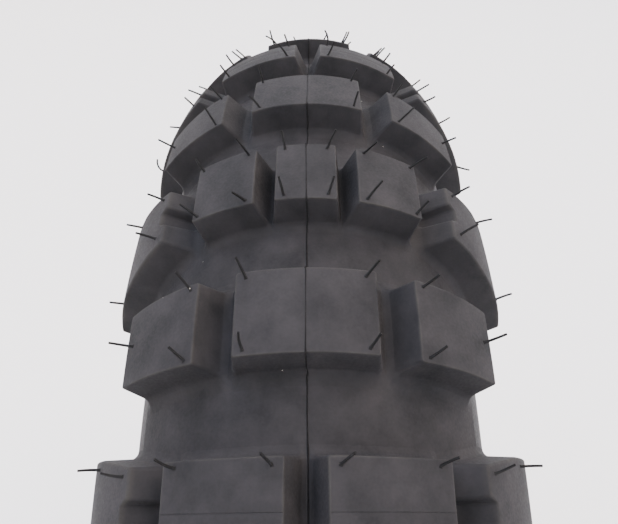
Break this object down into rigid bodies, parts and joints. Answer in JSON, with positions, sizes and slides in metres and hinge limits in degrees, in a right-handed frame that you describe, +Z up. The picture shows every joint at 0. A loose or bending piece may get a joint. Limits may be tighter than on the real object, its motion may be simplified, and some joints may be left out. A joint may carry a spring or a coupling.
{
  "type": "motorcycle tire",
  "caption": "Block-pattern motorcycle tire with cord plies, cable beads and open wide-spaced rubber knobs, ready to seat on a 17 inch rim.",
  "frame": {"origin": "centre of the wheel: on the axle line, in the tyre's middle plane", "axes": "+Y along the axle, +Z up; the tyre rolls in the XZ plane"},
  "size_m": [0.65, 0.1502, 0.6498],
  "materials": {
    "tread_rubber": "moulded matte rubber",
    "sidewall_rubber": "moulded matte rubber",
    "chafer_rubber": "smooth hard rubber over fabric",
    "liner_rubber": "semi-gloss butyl rubber",
    "filler_rubber": "hard rubber",
    "base_rubber": "soft rubber",
    "ply_cord": "rubber-coated polyamide cord",
    "belt_cord": "rubber-coated aramid cord",
    "wrap_fabric": "rubber-coated woven tape",
    "bead_steel": "bronze-coated steel cable"
  },
  "bodies": {
    "root": {"bead_core_left": "bead_steel", "bead_core_right": "bead_steel", "bead_filler_left": "filler_rubber", "bead_filler_right": "filler_rubber", "bead_wrap_left": "wrap_fabric", "bead_wrap_right": "wrap_fabric", "belt_edge_strip_left": "base_rubber", "belt_edge_strip_right": "base_rubber", "belt_ply_lower": "belt_cord", "belt_ply_upper": "belt_cord", "carcass_ply_inner": "ply_cord", "carcass_ply_outer": "ply_cord", "centre_knobs": "tread_rubber", "chafer_left": "chafer_rubber", "chafer_right": "chafer_rubber", "inner_liner": "liner_rubber", "short_centre_knobs": "tread_rubber", "short_side_knobs_left": "tread_rubber", "short_side_knobs_right": "tread_rubber", "shoulder_knobs_left": "tread_rubber", "shoulder_knobs_right": "tread_rubber", "side_knobs_left": "tread_rubber", "side_knobs_right": "tread_rubber", "sidewall_left": "sidewall_rubber", "sidewall_right": "sidewall_rubber", "tread_base": "base_rubber", "tread_cap": "tread_rubber", "twin_knobs_left": "tread_rubber", "twin_knobs_right": "tread_rubber"}
  },
  "joints": []
}
